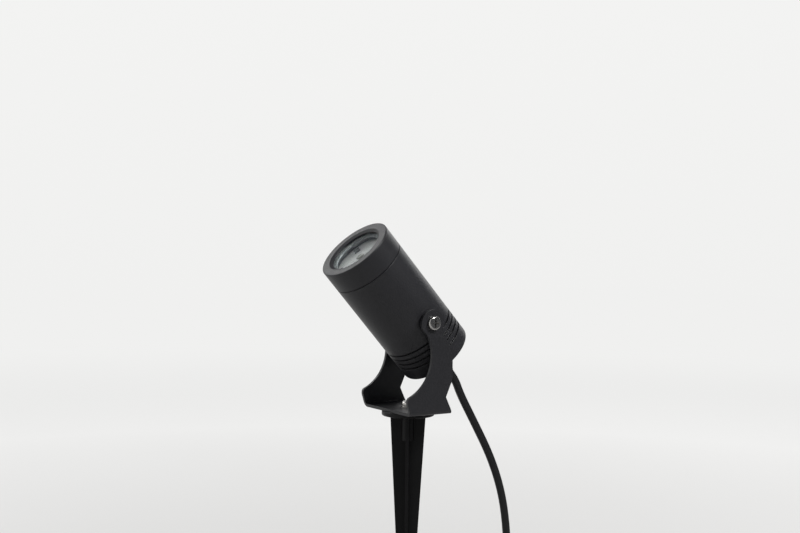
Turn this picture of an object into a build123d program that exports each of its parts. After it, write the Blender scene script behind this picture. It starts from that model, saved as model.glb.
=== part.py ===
"""Garden spike spotlight: a tilting aluminium head in a folded bracket, bolted to a plastic ground spike.

Millimetres, +Z up. The origin is on the spike's axis, level with its tip, which is also the surface that
the lead lies on. The head tilts about the X axis through the two pivot screws, and the bracket turns about Z.
"""

from build123d import *
from math import atan2, cos, degrees, pi, radians, sin, sqrt, tan
import os

os.makedirs("parts", exist_ok=True)

# ---------------------------------------------------------------- driving dimensions

# fits
thread_gap = 0.05          # a screw in its thread, on the radius
slip_gap = 0.10            # a part that slides into a bore, on the radius
bolt_hole_gap = 0.25       # a bolt in a clearance hole, on the radius
seam_gap = 0.40            # the shadow line between the bezel and the housing
lead_gap = 0.30            # between the lead and the strain relief that it leaves

# ground spike
spike_length = 186.0       # from the soil line under the flange to the tip
flange_radius = 21.0
flange_thickness = 4.0
flange_rim_fillet = 1.2
rib_width_top = 28.3       # across a pair of ribs, under the flange
rib_width_low = 8.4        # across a pair of ribs, where the point starts
rib_thickness = 2.6
point_length = 11.0
point_width = 1.6
spike_turn = -36.0         # how the cross of ribs stands to the bracket, in degrees
boss_wall = 1.2            # round the insert
boss_length = 20.0
insert_wall = 1.0          # round the bolt
insert_length = 13.0

# screws, all M6 with a pan head and a cross recess
bolt_radius = 3.0
screw_head_radius = 5.5
screw_head_height = 3.2
screw_head_dome = 1.4
recess_reach = 3.2         # arm of the cross recess
recess_width = 1.2
recess_depth = 1.9
recess_taper = 12.0

# under the head of the base screw
bolt_grip = 9.0            # thread in the insert
base_washer_radius = 6.0
base_washer_thickness = 0.6
split_washer_radius = 5.2
split_washer_thickness = 0.8
split_washer_slit = 1.0

# bracket, folded from sheet
sheet_thickness = 2.5
bend_radius = 1.5          # inside the fold
pivot_height = 71.8        # from the underside of the base plate to the pivot
plate_half_depth = 19.5    # base plate, from the bolt to its front or rear edge
eye_radius = 10.5
flank_depth = 18.8         # the straight rear edge of an arm, behind the pivot
flank_height = 27.0        # where it starts
flank_drop = 31.8          # where it ends, below the pivot
flank_radius = 31.8        # the shoulder from the rear edge up to the eye
shoulder_turn = 53.0       # how far round that shoulder goes, in degrees
notch_depth = 12.9         # the notch over the rear corner of the base plate
notch_height = 13.6
lobe_depth = 22.8          # the foremost edge of an arm, ahead of the pivot
lobe_edge_length = 3.7
sickle_radius = 33.7       # the hollow front edge that clears the head
sickle_depth = 34.4        # its centre, ahead of the pivot
sickle_drop = 25.9         # its centre, below the pivot
neck_fillet = 8.0
lobe_tip_fillet = 3.2
lobe_heel_fillet = 2.0
flank_fillet = 12.0
notch_fillet = 0.8

# head, measured along the beam from the pivot
beam_elevation = 47.5      # as it stands, in degrees above the horizon
head_radius = 30.0
head_front = 76.7
head_rear = 37.8
rear_fillet = 2.2
edge_break = 0.3
bezel_length = 18.1
bezel_rim_fillet = 0.9
rim_width = 6.7            # the flat front face
rim_bevel_width = 2.3
rim_bevel_depth = 1.3
lip_depth = 2.5            # from the front face to the glass
bezel_wall = 3.0
glass_thickness = 4.0
glass_edge_gap = 0.3
gasket_thickness = 1.2
gasket_overhang = 2.5      # over the edge of the well
neck_wall = 5.4            # the neck that the bezel screws onto, round the well in front of the board
ledge_width = 2.0          # the step that the heat plate sits on
board_depth = 8.9          # from the front of the glass to the board
seal_section_radius = 0.85
seal_groove_width = 2.1
seal_setback = 3.2         # from the shoulder to the middle of the seal
rear_wall = 8.0
groove_count = 4
groove_pitch = 4.7
groove_width = 1.6
groove_depth = 2.0
groove_land = 11.6         # from the rear face to the first groove

# pivots
pivot_boss_radius = 8.5
pivot_boss_rise = 0.25     # over the widest point of the head
pivot_hole_depth = 8.0
screw_tip_gap = 0.5
friction_washer_radius = 8.0
friction_washer_thickness = 1.0

# light source and driver
board_thickness = 1.6
board_edge_gap = 0.3
heat_plate_thickness = 5.0
emitter_side = 5.0
emitter_thickness = 0.9
emitter_dome_radius = 2.1
emitter_dome_height = 0.4
connector_length = 5.0
connector_width = 4.4
connector_height = 1.6
connector_reach = 13.2     # from the middle of the board
connector_angle = 153.0
board_screw_inset = 3.2    # from the edge of the board
board_screw_angle = 64.0
board_screw_radius = 1.25
board_screw_head_radius = 2.2
board_screw_head_height = 1.5
board_screw_length = 4.6
wire_radius = 0.7
wire_spacing = 2.2
wire_hole_radius = 2.4
case_wall = 1.4
case_length = 48.0
driver_board_thickness = 1.6
driver_board_end_gap = 2.55
driver_board_drop = 4.0    # below the head's axis
transformer_width = 15.0
transformer_length = 13.0
transformer_height = 12.0
transformer_x = -6.0
transformer_setback = 14.0 # from the front end of the driver board
capacitor_radius = 5.0
capacitor_length = 15.0
capacitor_x = 9.0
capacitor_setback = 8.0
choke_radius = 4.5
choke_height = 8.0
choke_x = -5.0
choke_inset = 10.1         # from the rear end of the driver board

# gland and lead
lead_radius = 3.25
gland_thread_radius = 6.0
gland_flats = 15.0
gland_hex_length = 3.2
gland_gasket_thickness = 0.8
gland_gasket_radius = 7.2
gland_nose_wall = 1.25
gland_nose_length = 5.2
gland_nut_length = 9.0
gland_nut_dome = 2.2
relief_length = 19.4
relief_collar_wall = 1.3
relief_neck_wall = 1.2
relief_tip_wall = 0.65
relief_neck_gap = 0.2      # inside the mouth of the gland nut
lead_inside_length = 4.8   # how far the sheath reaches in from the rear wall
core_radius = 1.25
core_circle_radius = 1.55  # from the middle of the lead to the middle of a core
core_overlap_length = 4.0  # how far the cores reach over the driver board

# the free lead, by hand-chosen points that follow its straight run out of the strain relief
lead_first_run = 8.8
lead_route = [
    (0.0, 52.4, 199.4),
    (0.0, 66.8, 175.4),
    (0.0, 83.6, 145.0),
    (0.0, 94.9, 113.8),
    (0.0, 100.9, 81.0),
    (-1.5, 103.0, 52.0),
    (-10.0, 102.0, 26.5),
    (-27.0, 98.0, 9.5),
    (-48.0, 92.4, lead_radius),
    (-69.6, 86.6, lead_radius),
]

# the coil of put-away lead
coil_straight = 6.5        # at both of its ends
coil_first_radius = 48.0
coil_gap = 0.5             # between one turn and the next
coil_half_turns = 5
coil_last_radius = 26.5    # the closing quarter turn

# the bare cores at the end of the lead
core_first_runs = (9.4, 7.7, 6.0)          # the outer core runs on for longest
core_runs = (7.0, 7.0, 10.0)
core_heights = (1.0, 0.6, 0.0, 0.0)        # shares of its height in the lead, point by point
core_fan = (70.0, 92.0, 114.0)             # how far each core turns, in degrees
core_tip_radius = 0.75
core_tip_length = 6.0

# ---------------------------------------------------------------- places that follow

soil_z = spike_length
seat_z = soil_z + flange_thickness
plate_top = seat_z + sheet_thickness
pivot_z = seat_z + pivot_height
insert_radius = bolt_radius + insert_wall
pivot_boss_face = head_radius + pivot_boss_rise
arm_inside = pivot_boss_face + friction_washer_thickness
arm_outside = arm_inside + sheet_thickness
tilt = radians(beam_elevation)
beam = Vector(0, -cos(tilt), sin(tilt))
pivot = Vector(0, 0, pivot_z)
head_axis = Axis(pivot, beam)
head_plane = Plane(origin=pivot, x_dir=(1, 0, 0), z_dir=beam)
head_section = Plane(origin=pivot, x_dir=(1, 0, 0), z_dir=(0, -sin(tilt), -cos(tilt)))

bezel_bore = head_radius - bezel_wall
opening_radius = head_radius - rim_width
lip_radius = opening_radius - rim_bevel_width
neck_radius = bezel_bore - slip_gap
board_bore = neck_radius - neck_wall
driver_bore = board_bore - ledge_width
board_radius = board_bore - board_edge_gap
board_screw_reach = board_radius - board_screw_inset
glass_front = head_front - lip_depth
glass_rear = glass_front - glass_thickness
neck_front = glass_rear - gasket_thickness
board_front = glass_front - board_depth
board_rear = board_front - board_thickness
plate_seat = board_rear - heat_plate_thickness
shoulder = head_front - bezel_length - seam_gap / 2
seal_place = shoulder + seal_setback
case_front = plate_seat
case_rear = case_front - case_length
case_radius = driver_bore - slip_gap
cavity_floor = -head_rear + rear_wall
driver_board_front = case_front - case_wall - driver_board_end_gap
driver_board_rear = case_rear + case_wall + driver_board_end_gap


def along_head(distance, x=0.0, y=0.0):
    """A point by its distance ahead of the pivot and its place across the head."""
    return head_plane.from_local_coords(Vector(x, y, distance))


def ring(outer, inner):
    """Draws a flat ring in the open sketch."""
    Circle(outer)
    Circle(inner, mode=Mode.SUBTRACT)


def cross_recess():
    """Draws the cross of a screw's recess in the open sketch."""
    Rectangle(2 * recess_reach, recess_width)
    Rectangle(recess_width, 2 * recess_reach)


def nearest(corners, across, up):
    """The corner of a sketch that lies nearest to a place on it."""
    return corners.sort_by_distance((across, up, 0))[0]


def finish(part, name):
    """Names a finished piece and writes its file."""
    part.label = name
    export_step(part, f"parts/{name}.step")


def tube_radii(points):
    """The largest bend at each corner of a route that leaves a straight tenth of its shorter run."""
    radii = []
    for before, corner, after in zip(points, points[1:], points[2:]):
        run_in = Vector(*corner) - Vector(*before)
        run_out = Vector(*after) - Vector(*corner)
        half_turn = radians(run_in.get_angle(run_out)) / 2
        radii.append(0.45 * min(run_in.length, run_out.length) / tan(half_turn))
    return radii


# ---------------------------------------------------------------- ground spike

with BuildPart() as ground_spike:
    with BuildSketch(Plane.XY.offset(soil_z)):
        Circle(flange_radius)
    extrude(amount=flange_thickness)
    fillet(ground_spike.edges(), radius=flange_rim_fillet)
    for turn in (spike_turn, spike_turn + 90):
        rib_plane = Plane(origin=(0, 0, 0), x_dir=(cos(radians(turn)), sin(radians(turn)), 0),
                          z_dir=(sin(radians(turn)), -cos(radians(turn)), 0))
        with BuildSketch(rib_plane):
            with BuildLine():
                Polyline(
                    (-point_width / 2, 0),
                    (point_width / 2, 0),
                    (rib_width_low / 2, point_length),
                    (rib_width_top / 2, soil_z + flange_thickness / 2),
                    (-rib_width_top / 2, soil_z + flange_thickness / 2),
                    (-rib_width_low / 2, point_length),
                    close=True,
                )
            make_face()
        extrude(amount=rib_thickness / 2, both=True)
    with BuildSketch(Plane.XY.offset(soil_z)):
        Circle(insert_radius + boss_wall)
    extrude(amount=-boss_length)
    with BuildSketch(Plane.XY.offset(seat_z)):
        Circle(insert_radius + thread_gap)
    extrude(amount=-insert_length, mode=Mode.SUBTRACT)
finish(ground_spike.part, "ground_spike")

with BuildPart() as spike_insert:
    with BuildSketch(Plane.XY.offset(seat_z)):
        ring(insert_radius, bolt_radius)
    extrude(amount=-insert_length)
finish(spike_insert.part, "spike_insert")

# ---------------------------------------------------------------- base screw

base_washer_top = plate_top + base_washer_thickness
screw_seat = base_washer_top + split_washer_thickness

with BuildPart() as base_flat_washer:
    with BuildSketch(Plane.XY.offset(plate_top)):
        ring(base_washer_radius, bolt_radius + bolt_hole_gap)
    extrude(amount=base_washer_thickness)
finish(base_flat_washer.part, "base_flat_washer")

with BuildPart() as base_spring_washer:
    with BuildSketch(Plane.XY.offset(base_washer_top)):
        ring(split_washer_radius, bolt_radius + slip_gap)
        with Locations((split_washer_radius, 0)):
            Rectangle(2 * split_washer_radius, split_washer_slit, mode=Mode.SUBTRACT)
    extrude(amount=split_washer_thickness)
finish(base_spring_washer.part, "base_spring_washer")

with BuildPart() as base_bolt:
    with BuildSketch(Plane.XY.offset(screw_seat)):
        Circle(screw_head_radius)
    extrude(amount=screw_head_height)
    fillet(base_bolt.edges().group_by(Axis.Z)[-1], radius=screw_head_dome)
    with BuildSketch(Plane.XY.offset(screw_seat)):
        Circle(bolt_radius - thread_gap)
    extrude(amount=-(screw_seat - seat_z + bolt_grip))
    with BuildSketch(Plane.XY.offset(screw_seat + screw_head_height)):
        cross_recess()
    extrude(amount=-recess_depth, taper=recess_taper, mode=Mode.SUBTRACT)
finish(base_bolt.part, "base_bolt")

# ---------------------------------------------------------------- bracket

shoulder_y = flank_depth - flank_radius
shoulder_z = pivot_z - flank_drop
shoulder_end_y = shoulder_y + flank_radius * cos(radians(shoulder_turn))
shoulder_end_z = shoulder_z + flank_radius * sin(radians(shoulder_turn))
sickle_z = pivot_z - sickle_drop
lobe_tip_z = sickle_z - sqrt(sickle_radius**2 - (sickle_depth - lobe_depth) ** 2)
lobe_heel_z = lobe_tip_z - lobe_edge_length

with BuildPart() as bracket:
    with BuildSketch(Plane.XZ):
        with BuildLine():
            FilletPolyline(
                (-arm_outside, pivot_z + eye_radius),
                (-arm_outside, seat_z),
                (arm_outside, seat_z),
                (arm_outside, pivot_z + eye_radius),
                radius=bend_radius + sheet_thickness,
            )
            offset(amount=-sheet_thickness, side=Side.LEFT)
        make_face()
    extrude(amount=2 * plate_half_depth, both=True)
    with BuildSketch(Plane.YZ) as arm_outline:
        with BuildLine():
            Polyline(
                (shoulder_end_y, shoulder_end_z),
                (0, pivot_z),
                (-lobe_depth, sickle_z),
                (-lobe_depth, lobe_heel_z),
                (-plate_half_depth, seat_z),
                (plate_half_depth, seat_z),
                (notch_depth, seat_z + notch_height),
                (flank_depth, seat_z + flank_height),
                (flank_depth, shoulder_z),
            )
            CenterArc((shoulder_y, shoulder_z), flank_radius, 0, shoulder_turn)
        make_face()
        with Locations((-sickle_depth, sickle_z)):
            Circle(sickle_radius, mode=Mode.SUBTRACT)
        with Locations((0, pivot_z)):
            Circle(eye_radius)
        fillet(nearest(arm_outline.vertices(), -eye_radius, pivot_z - eye_radius), neck_fillet)
        fillet(nearest(arm_outline.vertices(), eye_radius, pivot_z - eye_radius), neck_fillet)
        fillet(nearest(arm_outline.vertices(), -lobe_depth, lobe_tip_z), lobe_tip_fillet)
        fillet(nearest(arm_outline.vertices(), -lobe_depth, lobe_heel_z), lobe_heel_fillet)
        fillet(nearest(arm_outline.vertices(), notch_depth, seat_z + notch_height), notch_fillet)
        fillet(nearest(arm_outline.vertices(), flank_depth, seat_z + flank_height), flank_fillet)
    extrude(amount=arm_outside, both=True, mode=Mode.INTERSECT)
    with BuildSketch(Plane.YZ):
        with Locations((0, pivot_z)):
            Circle(bolt_radius + bolt_hole_gap)
    extrude(amount=arm_outside, both=True, mode=Mode.SUBTRACT)
    with BuildSketch(Plane.XY.offset(seat_z)):
        Circle(bolt_radius + bolt_hole_gap)
    extrude(amount=sheet_thickness, mode=Mode.SUBTRACT)
finish(bracket.part, "bracket")

# ---------------------------------------------------------------- head housing

seal_circle = bezel_bore - thread_gap - seal_section_radius
first_groove = groove_land + groove_width / 2 - head_rear
seal_groove_floor = seal_circle - seal_section_radius - thread_gap

with BuildPart() as housing:
    with BuildSketch(head_section) as shell:
        with BuildLine():
            Polyline(
                (0, -head_rear),
                (head_radius, -head_rear),
                (head_radius, shoulder),
                (neck_radius, shoulder),
                (neck_radius, neck_front),
                (0, neck_front),
                close=True,
            )
        make_face()
        fillet(nearest(shell.vertices(), head_radius, -head_rear), rear_fillet)
        chamfer(nearest(shell.vertices(), head_radius, shoulder), edge_break)
        for count in range(groove_count):
            with Locations((head_radius, first_groove + count * groove_pitch)):
                Rectangle(2 * groove_depth, groove_width, mode=Mode.SUBTRACT)
        with Locations((seal_groove_floor, seal_place)):
            Rectangle(head_radius, seal_groove_width, align=(Align.MIN, Align.CENTER), mode=Mode.SUBTRACT)
    revolve(axis=head_axis)
    with BuildSketch(Plane.YZ):
        with Locations((0, pivot_z)):
            Circle(pivot_boss_radius)
    extrude(amount=pivot_boss_face, both=True)
    with BuildSketch(head_section):
        with BuildLine():
            Polyline(
                (0, -head_rear),
                (gland_thread_radius, -head_rear),
                (gland_thread_radius, cavity_floor),
                (driver_bore, cavity_floor),
                (driver_bore, plate_seat),
                (board_bore, plate_seat),
                (board_bore, neck_front),
                (0, neck_front),
                close=True,
            )
        make_face()
    revolve(axis=head_axis, mode=Mode.SUBTRACT)
    for side in (-1, 1):
        with BuildSketch(Plane.YZ.offset(side * pivot_boss_face)):
            with Locations((0, pivot_z)):
                Circle(bolt_radius)
        extrude(amount=-side * pivot_hole_depth, mode=Mode.SUBTRACT)
finish(housing.part, "housing")

# ---------------------------------------------------------------- bezel, glass and seals

with BuildPart() as bezel_ring:
    with BuildSketch(head_section) as bezel_shape:
        with BuildLine():
            Polyline(
                (bezel_bore, shoulder + seam_gap),
                (head_radius, shoulder + seam_gap),
                (head_radius, head_front),
                (opening_radius, head_front),
                (lip_radius, head_front - rim_bevel_depth),
                (lip_radius, glass_front),
                (bezel_bore, glass_front),
                close=True,
            )
        make_face()
        fillet(nearest(bezel_shape.vertices(), head_radius, head_front), bezel_rim_fillet)
        chamfer(nearest(bezel_shape.vertices(), head_radius, shoulder + seam_gap), edge_break)
    revolve(axis=head_axis)
finish(bezel_ring.part, "bezel_ring")

with BuildPart() as front_glass:
    with BuildSketch(head_plane.offset(glass_rear)):
        Circle(bezel_bore - glass_edge_gap)
    extrude(amount=glass_thickness)
finish(front_glass.part, "front_glass")

with BuildPart() as glass_gasket:
    with BuildSketch(head_plane.offset(neck_front)):
        ring(bezel_bore - glass_edge_gap, board_bore - gasket_overhang)
    extrude(amount=gasket_thickness)
finish(glass_gasket.part, "glass_gasket")

with BuildPart() as bezel_seal:
    with BuildSketch(head_section):
        with Locations((seal_circle, seal_place)):
            Circle(seal_section_radius)
    revolve(axis=head_axis)
finish(bezel_seal.part, "bezel_seal")

# ---------------------------------------------------------------- light source

wire_x = connector_reach * cos(radians(connector_angle))
wire_y = connector_reach * sin(radians(connector_angle))

with BuildPart() as heat_plate:
    with BuildSketch(head_plane.offset(plate_seat)):
        Circle(board_bore - slip_gap)
        with Locations((wire_x, wire_y)):
            Circle(wire_hole_radius, mode=Mode.SUBTRACT)
        with PolarLocations(board_screw_reach, 2, start_angle=board_screw_angle):
            Circle(board_screw_radius + thread_gap, mode=Mode.SUBTRACT)
    extrude(amount=heat_plate_thickness)
finish(heat_plate.part, "heat_plate")

with BuildPart() as led_board:
    with BuildSketch(head_plane.offset(board_rear)):
        Circle(board_radius)
        with Locations((wire_x, wire_y)):
            with Locations(Rotation(0, 0, connector_angle)):
                with GridLocations(1, wire_spacing, 1, 2):
                    Circle(wire_radius + thread_gap, mode=Mode.SUBTRACT)
        with PolarLocations(board_screw_reach, 2, start_angle=board_screw_angle):
            Circle(board_screw_radius + bolt_hole_gap, mode=Mode.SUBTRACT)
    extrude(amount=board_thickness)
finish(led_board.part, "led_board")

with BuildPart() as led_emitter:
    with BuildSketch(head_plane.offset(board_front)):
        Rectangle(emitter_side, emitter_side)
    extrude(amount=emitter_thickness)
    with BuildSketch(head_plane.offset(board_front + emitter_thickness)):
        Circle(emitter_dome_radius)
    extrude(amount=emitter_dome_height)
finish(led_emitter.part, "led_emitter")

with BuildPart() as led_connector:
    with BuildSketch(head_plane.offset(board_front)):
        with Locations((wire_x, wire_y)):
            Rectangle(connector_width, connector_length, rotation=connector_angle)
    extrude(amount=connector_height)
finish(led_connector.part, "led_connector")

with BuildPart() as board_screws:
    with BuildSketch(head_plane.offset(board_front)):
        with PolarLocations(board_screw_reach, 2, start_angle=board_screw_angle):
            Circle(board_screw_head_radius)
    extrude(amount=board_screw_head_height)
    with BuildSketch(head_plane.offset(board_front)):
        with PolarLocations(board_screw_reach, 2, start_angle=board_screw_angle):
            Circle(board_screw_radius)
    extrude(amount=-board_screw_length)
finish(board_screws.part, "board_screws")

with BuildPart() as led_leads:
    with BuildSketch(head_plane.offset(board_front)):
        with Locations((wire_x, wire_y)):
            with Locations(Rotation(0, 0, connector_angle)):
                with GridLocations(1, wire_spacing, 1, 2):
                    Circle(wire_radius)
    extrude(amount=-(board_front - driver_board_front))
finish(led_leads.part, "led_leads")

# ---------------------------------------------------------------- driver

case_inner = case_radius - case_wall
board_underside = -driver_board_drop - driver_board_thickness
board_half_width = sqrt(case_inner**2 - board_underside**2) - slip_gap
core_hole_radius = core_circle_radius + core_radius + slip_gap

with BuildPart() as driver_case:
    with BuildSketch(head_plane.offset(case_rear)):
        Circle(case_radius)
    extrude(amount=case_length)
    with BuildSketch(head_plane.offset(case_rear + case_wall)):
        Circle(case_inner)
    extrude(amount=case_length - 2 * case_wall, mode=Mode.SUBTRACT)
    with BuildSketch(head_plane.offset(case_rear)):
        Circle(core_hole_radius)
    extrude(amount=case_wall, mode=Mode.SUBTRACT)
    with BuildSketch(head_plane.offset(case_front)):
        with Locations((wire_x, wire_y)):
            Circle(wire_hole_radius)
    extrude(amount=-case_wall, mode=Mode.SUBTRACT)
finish(driver_case.part, "driver_case")

driver_board_plane = Plane(
    origin=along_head(driver_board_front, y=-driver_board_drop), x_dir=(1, 0, 0), z_dir=head_plane.y_dir
)

with BuildPart() as driver_board:
    with BuildSketch(driver_board_plane):
        Rectangle(2 * board_half_width, driver_board_front - driver_board_rear, align=(Align.CENTER, Align.MIN))
    extrude(amount=-driver_board_thickness)
finish(driver_board.part, "driver_board")

with BuildPart() as driver_transformer:
    with BuildSketch(driver_board_plane):
        with Locations((transformer_x, transformer_setback)):
            Rectangle(transformer_width, transformer_length)
    extrude(amount=transformer_height)
finish(driver_transformer.part, "driver_transformer")

with BuildPart() as driver_capacitor:
    with BuildSketch(head_plane.offset(driver_board_front - capacitor_setback)):
        with Locations((capacitor_x, capacitor_radius - driver_board_drop)):
            Circle(capacitor_radius)
    extrude(amount=-capacitor_length)
finish(driver_capacitor.part, "driver_capacitor")

with BuildPart() as driver_choke:
    with BuildSketch(driver_board_plane):
        with Locations((choke_x, driver_board_front - driver_board_rear - choke_inset)):
            Circle(choke_radius)
    extrude(amount=choke_height)
finish(driver_choke.part, "driver_choke")

# ---------------------------------------------------------------- gland, strain relief and lead inside the head

gland_rear = -head_rear - gland_gasket_thickness - gland_hex_length
gland_seat = -head_rear - gland_gasket_thickness
nut_front = gland_rear - slip_gap
nut_rear = nut_front - gland_nut_length
nose_rear = gland_rear - gland_nose_length
relief_bore = lead_radius + thread_gap
relief_collar_radius = relief_bore + relief_collar_wall
relief_neck_radius = relief_bore + relief_neck_wall
relief_tip_radius = relief_bore + relief_tip_wall
nose_bore = relief_collar_radius + thread_gap
nose_radius = nose_bore + gland_nose_wall
relief_end = relief_length - gland_seat
sheath_end = cavity_floor + lead_inside_length

with BuildPart() as gland_gasket:
    with BuildSketch(head_plane.offset(-head_rear)):
        ring(gland_gasket_radius, gland_thread_radius)
    extrude(amount=-gland_gasket_thickness)
finish(gland_gasket.part, "gland_gasket")

with BuildPart() as gland_body:
    with BuildSketch(head_plane.offset(gland_seat)):
        RegularPolygon(radius=gland_flats / 2, side_count=6, major_radius=False)
    extrude(amount=-gland_hex_length)
    with BuildSketch(head_plane.offset(cavity_floor)):
        Circle(gland_thread_radius - thread_gap)
    extrude(amount=gland_seat - cavity_floor)
    with BuildSketch(head_plane.offset(gland_rear)):
        Circle(nose_radius)
    extrude(amount=-gland_nose_length)
    with BuildSketch(head_plane.offset(cavity_floor)):
        Circle(relief_bore)
    extrude(amount=nose_rear - cavity_floor, mode=Mode.SUBTRACT)
    with BuildSketch(head_plane.offset(gland_seat)):
        Circle(nose_bore)
    extrude(amount=nose_rear - gland_seat, mode=Mode.SUBTRACT)
finish(gland_body.part, "gland_body")

with BuildPart() as gland_nut:
    with BuildSketch(head_plane.offset(nut_front)):
        RegularPolygon(radius=gland_flats / 2, side_count=6, major_radius=False)
    extrude(amount=-gland_nut_length)
    with BuildSketch(head_section) as nut_shape:
        with BuildLine():
            Polyline(
                (0, nut_front),
                (gland_flats, nut_front),
                (gland_flats, nut_front - gland_nut_length / 2),
                (gland_flats / 2, nut_front - gland_nut_length / 2),
                (gland_flats / 2, nut_rear),
                (0, nut_rear),
                close=True,
            )
        make_face()
        fillet(nearest(nut_shape.vertices(), gland_flats / 2, nut_rear), gland_nut_dome)
    revolve(axis=head_axis, mode=Mode.INTERSECT)
    with BuildSketch(head_plane.offset(nut_front)):
        Circle(nose_radius + thread_gap)
    extrude(amount=nose_rear - nut_front - slip_gap, mode=Mode.SUBTRACT)
    with BuildSketch(head_plane.offset(nut_front)):
        Circle(relief_neck_radius + relief_neck_gap)
    extrude(amount=-gland_nut_length, mode=Mode.SUBTRACT)
finish(gland_nut.part, "gland_nut")

with BuildPart() as strain_relief:
    with BuildSketch(head_section):
        with BuildLine():
            Polyline(
                (relief_bore, gland_seat),
                (relief_collar_radius, gland_seat),
                (relief_collar_radius, nose_rear),
                (relief_neck_radius, nose_rear),
                (relief_neck_radius, nut_rear),
                (relief_tip_radius, -relief_end),
                (relief_bore, -relief_end),
                close=True,
            )
        make_face()
    revolve(axis=head_axis)
finish(strain_relief.part, "strain_relief")

with BuildPart() as cable_entry:
    with BuildSketch(head_plane.offset(-relief_end)):
        Circle(lead_radius)
    extrude(amount=relief_end + sheath_end)
finish(cable_entry.part, "cable_entry")

with BuildPart() as supply_cores:
    with BuildSketch(head_plane.offset(sheath_end)):
        with PolarLocations(core_circle_radius, 3, start_angle=90):
            Circle(core_radius)
    extrude(amount=driver_board_rear + core_overlap_length - sheath_end)
finish(supply_cores.part, "supply_cores")

# ---------------------------------------------------------------- pivots

with BuildPart() as pivot_washers:
    for side in (-1, 1):
        with BuildSketch(Plane.YZ.offset(side * pivot_boss_face)):
            with Locations((0, pivot_z)):
                ring(friction_washer_radius, bolt_radius + bolt_hole_gap)
        extrude(amount=side * friction_washer_thickness)
finish(pivot_washers.part, "pivot_washers")

with BuildPart() as pivot_screws:
    for side in (-1, 1):
        with BuildSketch(Plane.YZ.offset(side * arm_outside)):
            with Locations((0, pivot_z)):
                Circle(screw_head_radius)
        extrude(amount=side * screw_head_height)
    fillet(pivot_screws.edges().group_by(Axis.X)[0], radius=screw_head_dome)
    fillet(pivot_screws.edges().group_by(Axis.X)[-1], radius=screw_head_dome)
    for side in (-1, 1):
        with BuildSketch(Plane.YZ.offset(side * arm_outside)):
            with Locations((0, pivot_z)):
                Circle(bolt_radius - thread_gap)
        extrude(amount=-side * (arm_outside - pivot_boss_face + pivot_hole_depth - screw_tip_gap))
        with BuildSketch(Plane.YZ.offset(side * (arm_outside + screw_head_height))):
            with Locations((0, pivot_z)):
                cross_recess()
        extrude(amount=-side * recess_depth, taper=recess_taper, mode=Mode.SUBTRACT)
finish(pivot_screws.part, "pivot_screws")

# ---------------------------------------------------------------- the free lead

lead_start = along_head(-relief_end - lead_gap)
lead_points = [lead_start, lead_start - beam * lead_first_run] + [Vector(*point) for point in lead_route]
lead_radii = tube_radii(lead_points)

with BuildPart() as cable:
    with BuildLine() as lead_path:
        FilletPolyline(*lead_points, radius=lead_radii)
    with BuildSketch(Plane(origin=lead_start, z_dir=-beam)):
        Circle(lead_radius)
    sweep()
finish(cable.part, "cable")
lead_section = pi * lead_radius**2
lead_length = sum(edge.length for edge in lead_path.edges())
print("free lead radii", [round(radius, 1) for radius in lead_radii])
print("free lead length", lead_length, "volume ratio", cable.part.volume / (lead_section * lead_length))

# ---------------------------------------------------------------- the coil of put-away lead


def flat_direction(angle):
    """A level direction by its angle from +X."""
    return Vector(cos(radians(angle)), sin(radians(angle)), 0)


coil_start = lead_points[-1]
last_run = coil_start - lead_points[-2]
coil_heading = degrees(atan2(last_run.Y, last_run.X))

with BuildPart() as cable_coil:
    with BuildLine() as coil_path:
        Line(coil_start, coil_start + flat_direction(coil_heading) * coil_straight)
        for count in range(coil_half_turns):
            JernArc(
                start=coil_path.line @ 1,
                tangent=coil_path.line % 1,
                radius=coil_first_radius - count * (lead_radius + coil_gap / 2),
                arc_size=180,
            )
        JernArc(start=coil_path.line @ 1, tangent=coil_path.line % 1, radius=coil_last_radius, arc_size=90)
        Line(coil_path.line @ 1, coil_path.line @ 1 + (coil_path.line % 1) * coil_straight)
    with BuildSketch(Plane(origin=coil_start, z_dir=flat_direction(coil_heading))):
        Circle(lead_radius)
    sweep()
finish(cable_coil.part, "cable_coil")

coil_length = sum(edge.length for edge in coil_path.edges())
coil_samples = [coil_path.line @ (count / 400) for count in range(401)]
coil_spacing = coil_length / 400
least_gap = min(
    (near - far).length - 2 * lead_radius
    for place, near in enumerate(coil_samples)
    for other, far in enumerate(coil_samples)
    if (other - place) * coil_spacing > coil_last_radius
)
print("coil length", coil_length, "volume ratio", cable_coil.part.volume / (lead_section * coil_length))
print("coil least gap to itself", least_gap)

# ---------------------------------------------------------------- bare cores at the end of the lead

tail = coil_path.line @ 1
tail_angle = coil_heading + coil_half_turns * 180 + 90
tail_left = flat_direction(tail_angle + 90)


def core_route(place, first_run, turn):
    """The points of one core: straight out of the sheath, then an even bend to the left, down to the surface."""
    around = radians(90 + place * 120)
    rise = lead_radius + core_circle_radius * sin(around) - core_radius
    points = [tail - tail_left * core_circle_radius * cos(around) + Vector(0, 0, core_circle_radius * sin(around))]
    for step, (run, height) in enumerate(zip((first_run, *core_runs), core_heights)):
        ahead = points[-1] + flat_direction(tail_angle + turn * step / len(core_runs)) * run
        points.append(Vector(ahead.X, ahead.Y, core_radius + rise * height))
    return points


core_places = (2, 0, 1)
core_routes = [core_route(*core) for core in zip(core_places, core_first_runs, core_fan)]

for name, route in zip(("core_earth", "core_neutral", "core_live"), core_routes):
    with BuildPart() as core:
        with BuildLine() as core_path:
            FilletPolyline(*route, radius=tube_radii(route))
        with BuildSketch(Plane(origin=route[0], z_dir=route[1] - route[0])):
            Circle(core_radius)
        sweep()
    finish(core.part, name)
    print(name, "radii", [round(radius, 1) for radius in tube_radii(route)])

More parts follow.
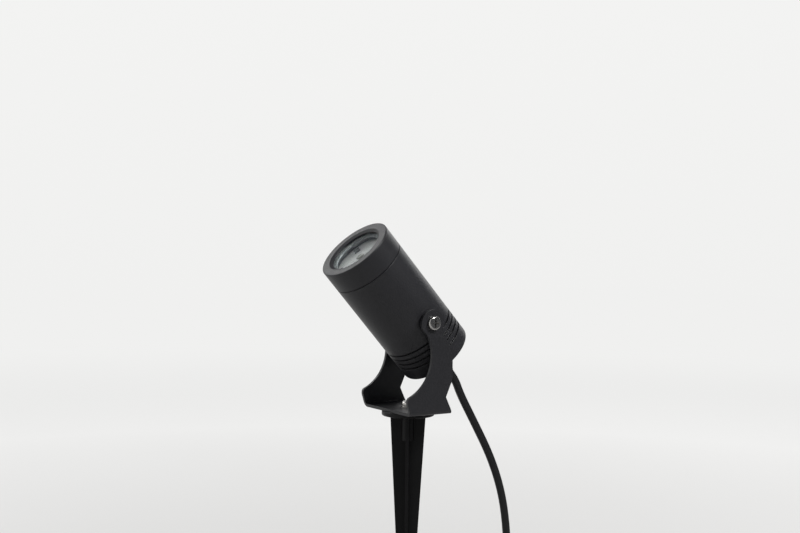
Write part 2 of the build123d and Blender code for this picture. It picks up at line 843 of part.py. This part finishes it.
with BuildPart() as core_tips:
    for route in core_routes:
        with BuildSketch(Plane(origin=route[-1], z_dir=route[-1] - route[-2])):
            Circle(core_tip_radius)
        extrude(amount=core_tip_length)
finish(core_tips.part, "core_tips")
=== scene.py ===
"""Looks of the garden spike spotlight: camera, lead, finishes and studio around the CAD frame."""

from math import cos, pi, radians, sin

import bpy
from mathutils import Matrix, Vector


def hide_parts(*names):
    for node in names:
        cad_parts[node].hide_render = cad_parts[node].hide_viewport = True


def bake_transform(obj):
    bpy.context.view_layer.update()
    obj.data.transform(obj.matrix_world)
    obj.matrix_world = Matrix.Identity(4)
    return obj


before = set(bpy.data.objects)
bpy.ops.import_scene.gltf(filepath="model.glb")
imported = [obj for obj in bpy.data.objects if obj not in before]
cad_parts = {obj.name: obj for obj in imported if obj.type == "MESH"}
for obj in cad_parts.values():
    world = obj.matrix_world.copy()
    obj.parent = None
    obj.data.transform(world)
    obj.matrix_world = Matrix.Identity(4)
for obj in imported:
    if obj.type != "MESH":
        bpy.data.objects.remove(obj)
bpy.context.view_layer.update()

MM = 0.001

# ---------------------------------------------------------------- camera

# the way it looks and where it stands, in metres, as solved from the photographed outlines
camera_right = Vector((0.54725, 0.83687, 0.01259))
camera_up = Vector((-0.03989, 0.01106, 0.99914))
camera_back = camera_right.cross(camera_up)
camera_place = Vector((0.87069, -0.57940, 0.34536))
camera_data = bpy.data.cameras.new("photo_camera")
camera_data.sensor_width = 36.0
camera_data.lens = 59.5
camera_data.clip_start = 0.05
camera = bpy.data.objects.new("photo_camera", camera_data)
camera.matrix_world = Matrix.Translation(camera_place) @ Matrix(
    (camera_right, camera_up, camera_back)
).transposed().to_4x4()
bpy.context.collection.objects.link(camera)
bpy.context.scene.camera = camera
bpy.context.scene.view_settings.view_transform = "Standard"

# ---------------------------------------------------------------- the lead

LEAD_RADIUS = 3.25 * MM
PIVOT = Vector((0.0, 0.0, 261.8)) * MM
BEAM_ELEVATION = radians(47.5)
BEAM = Vector((0.0, -cos(BEAM_ELEVATION), sin(BEAM_ELEVATION)))
RELIEF_END = 58.0 * MM  # from the pivot back along the beam
FIRST_RUN = 9.1 * MM  # straight on from there

# the free stretch, point by point, from the tip of the strain relief down to the surface
FREE_POINTS_MM = (
    (0.0, 50.8, 199.4),
    (0.0, 65.3, 175.4),
    (0.0, 83.1, 145.0),
    (0.0, 95.3, 113.8),
    (0.0, 101.0, 81.0),
    (-1.5, 103.0, 52.0),
    (-10.0, 102.0, 26.5),
    (-27.0, 98.0, 9.5),
    (-48.0, 92.4, 3.25),
    (-69.6, 86.6, 3.25),
)

# the spare length, wound flat in half turns that each come a little closer to the middle
COIL_STRAIGHT = 6.5 * MM  # at both of its ends
COIL_FIRST_RADIUS = 48.0 * MM
COIL_STEP = 3.5 * MM
COIL_HALF_TURNS = 5
COIL_LAST_RADIUS = 26.5 * MM
COIL_LAST_SWEEP = 90  # degrees
COIL_ANGLE = 30  # degrees between control points
ROUND_OUT = 1.035  # a smooth line runs this much inside control points that stand that far apart


def coil_points(start, heading):
    """Control points of the flat coil, from where the lead runs into it to its cut end."""
    left = Vector((-heading.y, heading.x, 0.0))
    place = start + heading * COIL_STRAIGHT
    points = []
    for count in range(COIL_HALF_TURNS + 1):
        closing = count == COIL_HALF_TURNS
        radius = COIL_LAST_RADIUS if closing else COIL_FIRST_RADIUS - count * COIL_STEP
        sweep = COIL_LAST_SWEEP if closing else 180
        centre = place + left * radius
        for angle in range(COIL_ANGLE // 2, sweep, COIL_ANGLE):
            turn = radians(angle)
            points.append(centre + (heading * sin(turn) - left * cos(turn)) * radius * ROUND_OUT)
        turn = radians(sweep)
        place = centre + (heading * sin(turn) - left * cos(turn)) * radius
        heading = heading * cos(turn) + left * sin(turn)
        left = Vector((-heading.y, heading.x, 0.0))
    return points + [place, place + heading * COIL_STRAIGHT]


lead_exit = PIVOT - BEAM * RELIEF_END
free_points = [Vector(point) * MM for point in FREE_POINTS_MM]
into_coil = (free_points[-1] - free_points[-2]).normalized()
lead_points = [
    lead_exit,
    lead_exit - BEAM * FIRST_RUN,
    *free_points,
    *coil_points(free_points[-1], into_coil),
]

lead_curve = bpy.data.curves.new("rubber_lead", "CURVE")
lead_curve.dimensions = "3D"
lead_spline = lead_curve.splines.new("NURBS")
lead_spline.points.add(len(lead_points) - 1)
for control, point in zip(lead_spline.points, lead_points):
    control.co = (*point, 1.0)
lead_spline.order_u = 3
lead_spline.use_endpoint_u = True
lead_spline.resolution_u = 8


def mesh_of(curve, name):
    """The mesh that a curve makes, as it stands now."""
    carrier = bpy.data.objects.new(name, curve)
    bpy.context.collection.objects.link(carrier)
    shown = carrier.evaluated_get(bpy.context.evaluated_depsgraph_get())
    mesh = bpy.data.meshes.new_from_object(shown)
    bpy.data.objects.remove(carrier)
    return mesh


lead_path = [tuple(vertex.co) for vertex in mesh_of(lead_curve, "lead_path").vertices]
lead_curve.bevel_depth = LEAD_RADIUS
lead_curve.bevel_resolution = 6
lead_curve.use_fill_caps = True
lead_mesh = mesh_of(lead_curve, "lead_skin")
lead_mesh.name = "rubber_lead"
lead_mesh.shade_smooth()
rubber_lead = bpy.data.objects.new("rubber_lead", lead_mesh)
bpy.context.collection.objects.link(rubber_lead)

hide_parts("cable", "cable_coil")
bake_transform(rubber_lead)

# ---------------------------------------------------------------- materials

# the sRGB standard's curve: straight up to a low share, and a power above it
COLOUR_LOW = 0.04045
LOW_SLOPE = 12.92
CURVE_OFFSET = 0.055
CURVE_POWER = 2.4


def linear(hex_colour):
    """An sRGB hex colour as the linear colour that a shader wants."""
    colour = []
    for start in (0, 2, 4):
        share = int(hex_colour[start : start + 2], 16) / 255
        if share <= COLOUR_LOW:
            colour.append(share / LOW_SLOPE)
        else:
            colour.append(((share + CURVE_OFFSET) / (1 + CURVE_OFFSET)) ** CURVE_POWER)
    return [*colour, 1.0]


def add_node(tree, kind, links=None, **settings):
    """Adds a node, with its settings, and with its inputs linked to sockets or set to values."""
    made = tree.nodes.new(kind)
    for name, value in settings.items():
        setattr(made, name, value)
    for name, value in (links or {}).items():
        if isinstance(value, bpy.types.NodeSocket):
            tree.links.new(value, made.inputs[name])
        else:
            made.inputs[name].default_value = value
    return made


def new_finish(name, colour, roughness, metallic=0.0, ior=None):
    """A material with one Principled shader: its tree, its shader and its place on the piece."""
    material = bpy.data.materials.new(name)
    material.use_nodes = True
    tree = material.node_tree
    shader = tree.nodes["Principled BSDF"]
    shader.inputs["Base Color"].default_value = linear(colour)
    shader.inputs["Roughness"].default_value = roughness
    shader.inputs["Metallic"].default_value = metallic
    if ior:
        shader.inputs["IOR"].default_value = ior
    place = add_node(tree, "ShaderNodeTexCoord").outputs["Object"]
    return material, tree, shader, place


def per_metre(size_mm):
    """The texture scale that draws a pattern of this size, in millimetres."""
    return 1.0 / (size_mm * MM)


def grain(tree, shader, place, size_mm, depth_mm, low, high, detail=2.0, edge_mm=None):
    """An uneven skin: bumps of a real size and depth, while the roughness wanders from low to high.

    Where edge_mm is given, light also runs round the piece's edges as if they were rounded that much.
    """
    noise = add_node(
        tree, "ShaderNodeTexNoise", {"Vector": place, "Scale": per_metre(size_mm), "Detail": detail}
    )
    bump = add_node(
        tree, "ShaderNodeBump", {"Height": noise.outputs["Fac"], "Distance": depth_mm * MM}
    )
    if edge_mm:
        rounded = add_node(tree, "ShaderNodeBevel", {"Radius": edge_mm * MM}, samples=8)
        tree.links.new(rounded.outputs["Normal"], bump.inputs["Normal"])
    tree.links.new(bump.outputs["Normal"], shader.inputs["Normal"])
    wander = add_node(
        tree, "ShaderNodeMapRange", {"Value": noise.outputs["Fac"], "To Min": low, "To Max": high}
    )
    tree.links.new(wander.outputs["Result"], shader.inputs["Roughness"])
    return noise


def tinted(tree, shader, noise, dark, light):
    """Lets the colour drift with the pattern, between two hex colours."""
    drift = add_node(
        tree,
        "ShaderNodeMix",
        {"Factor": noise.outputs["Fac"], "A": linear(dark), "B": linear(light)},
        data_type="RGBA",
    )
    tree.links.new(drift.outputs["Result"], shader.inputs["Base Color"])


def powder_coated(name):
    """Polyester powder coat, baked satin black: the orange peel of the flowed powder, a fine shimmer.

    Each call makes a material of its own, and returns its tree and its place on the piece with it.
    """
    coat, tree, shader, place = new_finish(name, "16161a", 0.45, ior=1.42)
    peel = grain(
        tree, shader, place, size_mm=1.3, depth_mm=0.14, low=0.4, high=0.5, detail=4.0, edge_mm=0.4
    )
    tinted(tree, shader, peel, "141417", "1b1b1e")
    return coat, tree, place


powder_coat = powder_coated("powder_coat")[0]

# the housing's bores were masked for the coat, so inside them the die-cast aluminium is bare and dull
MASK_RADIUS = 22.0 * MM  # about the head's axis, wider than every bore of the housing
MASK_REAR = -30.8 * MM  # from the pivot along the beam, inside the rear wall
masked_coat, tree, place = powder_coated("masked_powder_coat")
coat_shader = tree.nodes["Principled BSDF"]
bare_cast = add_node(
    tree,
    "ShaderNodeBsdfPrincipled",
    {"Base Color": linear("747679"), "Metallic": 1.0, "Roughness": 0.45},
)
from_pivot = add_node(tree, "ShaderNodeVectorMath", {0: place, 1: PIVOT}, operation="SUBTRACT")
off_axis = add_node(
    tree, "ShaderNodeVectorMath", {0: from_pivot.outputs["Vector"], 1: BEAM}, operation="CROSS_PRODUCT"
)
axis_distance = add_node(
    tree, "ShaderNodeVectorMath", {0: off_axis.outputs["Vector"]}, operation="LENGTH"
)
along_axis = add_node(
    tree, "ShaderNodeVectorMath", {0: from_pivot.outputs["Vector"], 1: BEAM}, operation="DOT_PRODUCT"
)
near_axis = add_node(
    tree, "ShaderNodeMath", {0: axis_distance.outputs["Value"], 1: MASK_RADIUS}, operation="LESS_THAN"
)
past_wall = add_node(
    tree, "ShaderNodeMath", {0: along_axis.outputs["Value"], 1: MASK_REAR}, operation="GREATER_THAN"
)
in_bore = add_node(
    tree,
    "ShaderNodeMath",
    {0: near_axis.outputs["Value"], 1: past_wall.outputs["Value"]},
    operation="MULTIPLY",
)
coat_or_bare = add_node(
    tree,
    "ShaderNodeMixShader",
    {"Fac": in_bore.outputs["Value"], 1: coat_shader.outputs["BSDF"], 2: bare_cast.outputs["BSDF"]},
)
tree.links.new(coat_or_bare.outputs["Shader"], tree.nodes["Material Output"].inputs["Surface"])

# glass-filled nylon, moulded in a smooth tool: satin black with long shallow sink marks
moulded_nylon, tree, shader, place = new_finish("moulded_nylon", "0b0b0c", 0.4, ior=1.25)
sink = grain(tree, shader, place, size_mm=14.0, depth_mm=0.05, low=0.34, high=0.46)
tinted(tree, shader, sink, "090909", "0e0e0f")

# the same nylon, moulded against a sparked tool: a dull even grain of about 0.3 mm
sparked_nylon, tree, shader, place = new_finish("sparked_nylon", "161617", 0.55)
spark = grain(tree, shader, place, size_mm=0.35, depth_mm=0.01, low=0.5, high=0.62)
tinted(tree, shader, spark, "131314", "19191a")

# stainless steel, cold headed and tumbled: bright, with the soft pits of the tumbling
stainless, tree, shader, place = new_finish("stainless_steel", "b9b7b3", 0.18, metallic=1.0)
tumbled = grain(tree, shader, place, size_mm=0.6, depth_mm=0.006, low=0.14, high=0.24)
tinted(tree, shader, tumbled, "adaba7", "c6c4c0")

# neoprene rubber sheath: extruded, matte, with a faint talc bloom
neoprene, tree, shader, place = new_finish("neoprene_sheath", "0c0c0d", 0.46, ior=1.4)
bloom = grain(tree, shader, place, size_mm=2.2, depth_mm=0.02, low=0.4, high=0.52, detail=3.0)
tinted(tree, shader, bloom, "0a0a0b", "101011")

# silicone rubber, moulded: the plain grey of gaskets
silicone, tree, shader, place = new_finish("silicone_rubber", "969b9d", 0.6)
skin = grain(tree, shader, place, size_mm=0.8, depth_mm=0.005, low=0.55, high=0.66)
tinted(tree, shader, skin, "909597", "9da2a3")

# toughened float glass with polished faces, clear enough to show the board behind it
float_glass, tree, shader, place = new_finish("float_glass", "f8f9f9", 0.02, ior=1.52)
shader.inputs["Transmission Weight"].default_value = 1.0
ripple = add_node(tree, "ShaderNodeTexNoise", {"Vector": place, "Scale": per_metre(30.0)})
float_bump = add_node(
    tree, "ShaderNodeBump", {"Height": ripple.outputs["Fac"], "Distance": 0.002 * MM, "Strength": 0.4}
)
tree.links.new(float_bump.outputs["Normal"], shader.inputs["Normal"])
# light passes straight through to the board, as it does through real glass this thin
glass_path = add_node(tree, "ShaderNodeLightPath")
clear = add_node(tree, "ShaderNodeBsdfTransparent", {"Color": linear("eef2f0")})
lit_through = add_node(tree, "ShaderNodeMixShader", {"Fac": glass_path.outputs["Is Shadow Ray"]})
tree.links.new(shader.outputs["BSDF"], lit_through.inputs[1])
tree.links.new(clear.outputs["BSDF"], lit_through.inputs[2])
tree.links.new(lit_through.outputs["Shader"], tree.nodes["Material Output"].inputs["Surface"])

# brass, turned on a lathe
turned_brass, tree, shader, place = new_finish("turned_brass", "c9a55a", 0.3, metallic=1.0)
turning = grain(tree, shader, place, size_mm=0.4, depth_mm=0.004, low=0.24, high=0.38)
tinted(tree, shader, turning, "bd9850", "d3b068")

# aluminium, sawn and faced flat
faced_aluminium, tree, shader, place = new_finish("faced_aluminium", "c6c7c9", 0.35, metallic=1.0)
sawing = grain(tree, shader, place, size_mm=0.5, depth_mm=0.006, low=0.3, high=0.42)
tinted(tree, shader, sawing, "b9babc", "d0d1d3")

# white solder mask, printed on an aluminium board: slightly glossy over a faint weave
solder_mask, tree, shader, place = new_finish("white_solder_mask", "d2d2d0", 0.38)
weave = grain(tree, shader, place, size_mm=0.7, depth_mm=0.004, low=0.32, high=0.44)
tinted(tree, shader, weave, "cccccb", "d8d8d6")

# phosphor in clear silicone over the diodes: unlit, a soft grey with a little yellow in it
phosphor, tree, shader, place = new_finish("phosphor_silicone", "9b9a92", 0.3)
cast = grain(tree, shader, place, size_mm=0.3, depth_mm=0.006, low=0.24, high=0.38)
tinted(tree, shader, cast, "94938b", "a3a29b")

# heat-proof nylon of the small connector: mid grey and dull
connector_nylon, tree, shader, place = new_finish("connector_nylon", "737577", 0.5)
dullness = grain(tree, shader, place, size_mm=0.3, depth_mm=0.006, low=0.45, high=0.56)
tinted(tree, shader, dullness, "6d6f71", "7a7c7e")

# acetal of the friction washers: waxy dark grey
acetal, tree, shader, place = new_finish("acetal", "2a2a2b", 0.4)
wax = grain(tree, shader, place, size_mm=0.5, depth_mm=0.004, low=0.36, high=0.46)
tinted(tree, shader, wax, "262627", "2f2f30")

# green solder mask on glass-epoxy
green_board, tree, shader, place = new_finish("green_solder_mask", "1f5a34", 0.35)
lacquer = grain(tree, shader, place, size_mm=1.2, depth_mm=0.008, low=0.3, high=0.42)
tinted(tree, shader, lacquer, "1a502d", "25643b")

# varnished coils and sleeved cans on the driver board
varnish, tree, shader, place = new_finish("varnished_parts", "2b2a2d", 0.45)
drips = grain(tree, shader, place, size_mm=0.6, depth_mm=0.02, low=0.38, high=0.52)
tinted(tree, shader, drips, "242326", "343337")


def insulation(name, dark, light):
    """PVC insulation of a core: smooth, waxy, a little uneven from the extruder."""
    material, tree, shader, place = new_finish(name, light, 0.4)
    flow = grain(tree, shader, place, size_mm=1.5, depth_mm=0.01, low=0.36, high=0.46)
    tinted(tree, shader, flow, dark, light)
    return material


brown_pvc = insulation("brown_pvc", "4f2d1b", "5e3722")
blue_pvc = insulation("blue_pvc", "1e4f9c", "2a5eb0")
grey_pvc = insulation("grey_pvc", "8d8e90", "9c9da0")

# earth core: PVC in green and yellow, drawn as bands across it that are about this wide
BAND_MM = 1.2
striped_pvc, tree, shader, place = new_finish("green_and_yellow_pvc", "4f8a2c", 0.4)
grain(tree, shader, place, size_mm=1.5, depth_mm=0.01, low=0.36, high=0.46)
bands = add_node(
    tree,
    "ShaderNodeTexWave",
    {"Vector": place, "Scale": per_metre(BAND_MM * 2 * pi)},
    bands_direction="DIAGONAL",
)
two_colours = add_node(
    tree,
    "ShaderNodeMix",
    {"Factor": bands.outputs["Fac"], "A": linear("3f7f2a"), "B": linear("d8c22c")},
    data_type="RGBA",
)
tree.links.new(two_colours.outputs["Result"], shader.inputs["Base Color"])

finishes = {
    powder_coat: ("bezel_ring", "bracket"),
    masked_coat: ("housing",),
    moulded_nylon: ("ground_spike",),
    sparked_nylon: ("gland_body", "gland_nut", "driver_case"),
    stainless: (
        "base_bolt",
        "base_flat_washer",
        "base_spring_washer",
        "pivot_screws",
        "board_screws",
        "core_tips",
    ),
    neoprene: ("strain_relief", "cable_entry", "gland_gasket", "bezel_seal"),
    silicone: ("glass_gasket",),
    float_glass: ("front_glass",),
    turned_brass: ("spike_insert",),
    faced_aluminium: ("heat_plate",),
    solder_mask: ("led_board",),
    phosphor: ("led_emitter",),
    connector_nylon: ("led_connector",),
    acetal: ("pivot_washers",),
    green_board: ("driver_board",),
    varnish: ("driver_transformer", "driver_capacitor", "driver_choke"),
    brown_pvc: ("core_live",),
    blue_pvc: ("core_neutral",),
    striped_pvc: ("core_earth",),
    grey_pvc: ("supply_cores", "led_leads"),
}
for material, names in finishes.items():
    for name in names:
        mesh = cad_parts[name].data
        mesh.materials.clear()
        mesh.materials.append(material)
lead_mesh.materials.clear()
lead_mesh.materials.append(neoprene)

# ---------------------------------------------------------------- floor and backdrop

# the card of the studio, as the camera and gloss see it: on the floor close by, where its glow is
# painted dimmer, far off, and high up on the backdrop
NEAR_DIMMED_CARD = "c4c4c3"
FAR_CARD = "f0f0ef"
HIGH_CARD = "f3f3f2"

# the unlit side of the studio, as gloss and glass show it
DARK_SIDE = (0.8, 0.45, 0.05)  # the way to it
DARK_START = -0.2  # the dark starts where a way agrees with that one by this share
DARK_FULL = 0.5
DARK_ROOM = "44464a"
DARK_FLOOR = "58595c"

# distances on the floor, in metres from the spike
FLOOR_REACH = 4
PALER_START = 0.25  # here the painted dimness close by starts to give way to paler card
PALER_FULL = 1.1
SHADOW_NEAR = 0.4  # here the object's shadow starts to fade out
SHADOW_FAR = 2.4
SHADED_START = 0.34  # nearer than this, gloss shows the floor that the object shades
SHADED_FULL = 0.12

SHADOW_SHARE = 0.3  # close by, so much of the floor's look is its real lighting, with the shadow
MOTTLE_SCALE = 3.0  # soft blotches of paint, about three to a metre

# painted card: pale and plain, with the faint mottle of its paint
card, tree, shader, place = new_finish("painted_card", "ecebe9", 0.9)
mottle = add_node(tree, "ShaderNodeTexNoise", {"Vector": place, "Scale": MOTTLE_SCALE})
tinted(tree, shader, mottle, "e9e8e6", "efeeec")
away = add_node(tree, "ShaderNodeVectorMath", {0: place}, operation="LENGTH")
away_share = add_node(
    tree,
    "ShaderNodeMapRange",
    {"Value": away.outputs["Value"], "From Min": SHADOW_NEAR, "From Max": SHADOW_FAR},
    interpolation_type="SMOOTHSTEP",
)
paler_share = add_node(
    tree,
    "ShaderNodeMapRange",
    {"Value": away.outputs["Value"], "From Min": PALER_START, "From Max": PALER_FULL},
)
# the colour of the floor's glow: painted dimmer close by, paler further off
glow_colour = add_node(
    tree,
    "ShaderNodeMix",
    {"Factor": paler_share.outputs["Result"], "A": linear(NEAR_DIMMED_CARD), "B": linear(FAR_CARD)},
    data_type="RGBA",
)
floor_path = add_node(tree, "ShaderNodeLightPath")
outward = add_node(tree, "ShaderNodeVectorMath", {0: place}, operation="NORMALIZE")
outward_dark = add_node(
    tree, "ShaderNodeVectorMath", {0: outward.outputs["Vector"], 1: DARK_SIDE}, operation="DOT_PRODUCT"
)
unlit_share = add_node(
    tree,
    "ShaderNodeMapRange",
    {"Value": outward_dark.outputs["Value"], "From Min": DARK_START, "From Max": DARK_FULL},
    interpolation_type="SMOOTHSTEP",
)
shaded_share = add_node(
    tree,
    "ShaderNodeMapRange",
    {"Value": away.outputs["Value"], "From Min": SHADED_START, "From Max": SHADED_FULL},
)
# where gloss should see shade: on the unlit side of the studio, and close by, where the object shades
# the floor
unlit_or_shaded_share = add_node(
    tree,
    "ShaderNodeMath",
    {0: unlit_share.outputs["Result"], 1: shaded_share.outputs["Result"]},
    operation="MAXIMUM",
)
unlit_gloss = add_node(
    tree,
    "ShaderNodeMath",
    {0: unlit_or_shaded_share.outputs["Value"], 1: floor_path.outputs["Is Glossy Ray"]},
    operation="MULTIPLY",
)
# painted shade: there, for gloss, the floor's glow turns to DARK_FLOOR
seen_colour = add_node(
    tree,
    "ShaderNodeMix",
    {
        "Factor": unlit_gloss.outputs["Value"],
        "A": glow_colour.outputs["Result"],
        "B": linear(DARK_FLOOR),
    },
    data_type="RGBA",
)
card_glow = add_node(tree, "ShaderNodeEmission", {"Color": seen_colour.outputs["Result"]})
floor_seen = add_node(
    tree,
    "ShaderNodeMath",
    {0: floor_path.outputs["Is Camera Ray"], 1: floor_path.outputs["Is Glossy Ray"]},
    operation="MAXIMUM",
)
even_share = add_node(
    tree, "ShaderNodeMapRange", {"Value": away_share.outputs["Result"], "To Min": 1.0 - SHADOW_SHARE}
)
floor_even = add_node(
    tree,
    "ShaderNodeMath",
    {0: floor_seen.outputs["Value"], 1: even_share.outputs["Result"]},
    operation="MULTIPLY",
)
floor_look = add_node(
    tree,
    "ShaderNodeMixShader",
    {"Fac": floor_even.outputs["Value"], 1: shader.outputs["BSDF"], 2: card_glow.outputs["Emission"]},
)
tree.links.new(floor_look.outputs["Shader"], tree.nodes["Material Output"].inputs["Surface"])

floor_corners = [
    (x * FLOOR_REACH, y * FLOOR_REACH, 0) for x, y in ((-1, -1), (1, -1), (1, 1), (-1, 1))
]
floor_mesh = bpy.data.meshes.new("studio_floor")
floor_mesh.from_pydata(floor_corners, [], [(0, 1, 2, 3)])
floor_mesh.materials.append(card)
studio_floor = bpy.data.objects.new("studio_floor", floor_mesh)
bpy.context.collection.objects.link(studio_floor)

# ---------------------------------------------------------------- light

SOFT_AIR = "88898c"  # the even light that comes from all round
NO_BOUNCE = 0.5  # with a diffuse depth below this, no matt surface has scattered the light yet

# heights in the studio, as the upward share of a way: -1 is straight down and 1 straight up
BACKDROP_LOW = -0.07
BACKDROP_HIGH = 0.16
CEILING_START = 0.2
CEILING_FULL = 0.5

world = bpy.data.worlds.new("studio_air")
bpy.context.scene.world = world
world.use_nodes = True
air = world.node_tree
background = air.nodes["Background"]
look_way = add_node(air, "ShaderNodeTexCoord").outputs["Generated"]
seen = add_node(air, "ShaderNodeLightPath")

# the backdrop: card that grows a little lighter with its height
look_height = add_node(air, "ShaderNodeSeparateXYZ", {"Vector": look_way})
height_share = add_node(
    air,
    "ShaderNodeMapRange",
    {"Value": look_height.outputs["Z"], "From Min": BACKDROP_LOW, "From Max": BACKDROP_HIGH},
)
backdrop = add_node(
    air,
    "ShaderNodeMix",
    {"Factor": height_share.outputs["Result"], "A": linear(FAR_CARD), "B": linear(HIGH_CARD)},
    data_type="RGBA",
)

# what gloss and glass show: card all round, up to the unlit ceiling and the unlit side of the studio
towards_dark = add_node(
    air, "ShaderNodeVectorMath", {0: look_way, 1: DARK_SIDE}, operation="DOT_PRODUCT"
)
side_share = add_node(
    air,
    "ShaderNodeMapRange",
    {"Value": towards_dark.outputs["Value"], "From Min": DARK_START, "From Max": DARK_FULL},
    interpolation_type="SMOOTHSTEP",
)
ceiling_share = add_node(
    air,
    "ShaderNodeMapRange",
    {"Value": look_height.outputs["Z"], "From Min": CEILING_START, "From Max": CEILING_FULL},
    interpolation_type="SMOOTHSTEP",
)
dark_share = add_node(
    air,
    "ShaderNodeMath",
    {0: side_share.outputs["Result"], 1: ceiling_share.outputs["Result"]},
    operation="MAXIMUM",
)
room = add_node(
    air,
    "ShaderNodeMix",
    {"Factor": dark_share.outputs["Value"], "A": linear(FAR_CARD), "B": linear(DARK_ROOM)},
    data_type="RGBA",
)
glossy_or_through = add_node(
    air,
    "ShaderNodeMath",
    {0: seen.outputs["Is Glossy Ray"], 1: seen.outputs["Is Transmission Ray"]},
    operation="MAXIMUM",
)
before_diffuse = add_node(
    air, "ShaderNodeMath", {0: seen.outputs["Diffuse Depth"], 1: NO_BOUNCE}, operation="LESS_THAN"
)
shows_room = add_node(
    air,
    "ShaderNodeMath",
    {0: glossy_or_through.outputs["Value"], 1: before_diffuse.outputs["Value"]},
    operation="MULTIPLY",
)
room_or_air = add_node(
    air,
    "ShaderNodeMix",
    {"Factor": shows_room.outputs["Value"], "A": linear(SOFT_AIR), "B": room.outputs["Result"]},
    data_type="RGBA",
)
air_colour = add_node(
    air,
    "ShaderNodeMix",
    {
        "Factor": seen.outputs["Is Camera Ray"],
        "A": room_or_air.outputs["Result"],
        "B": backdrop.outputs["Result"],
    },
    data_type="RGBA",
)
air.links.new(air_colour.outputs["Result"], background.inputs["Color"])


def softbox(name, place, aim, side, watts):
    """A square studio lamp at a place, turned to face a point."""
    lamp = bpy.data.lights.new(name, "AREA")
    lamp.shape = "SQUARE"
    lamp.size = side
    lamp.energy = watts
    holder = bpy.data.objects.new(name, lamp)
    way = Vector(place) - Vector(aim)
    holder.matrix_world = Matrix.Translation(place) @ way.to_track_quat("Z", "Y").to_matrix().to_4x4()
    bpy.context.collection.objects.link(holder)


# the points that the lamps face
HEAD_MIDDLE = (0.0, -0.02, 0.27)
FRONT_FACE = (0.0, -0.05, 0.3165)

softbox("left_softbox", (-0.8, -1.2, 0.9), HEAD_MIDDLE, side=0.9, watts=3.0)
softbox("beam_softbox", (0.0, -1.1, 1.45), FRONT_FACE, side=1.0, watts=4.0)
softbox("right_softbox", (1.14, 0.53, 1.41), HEAD_MIDDLE, side=0.5, watts=35.0)
softbox("back_softbox", (-0.8, 1.1, 1.0), HEAD_MIDDLE, side=1.0, watts=5.0)
softbox("front_face_softbox", (-1.06, -0.37, 1.33), FRONT_FACE, side=0.5, watts=7.9)
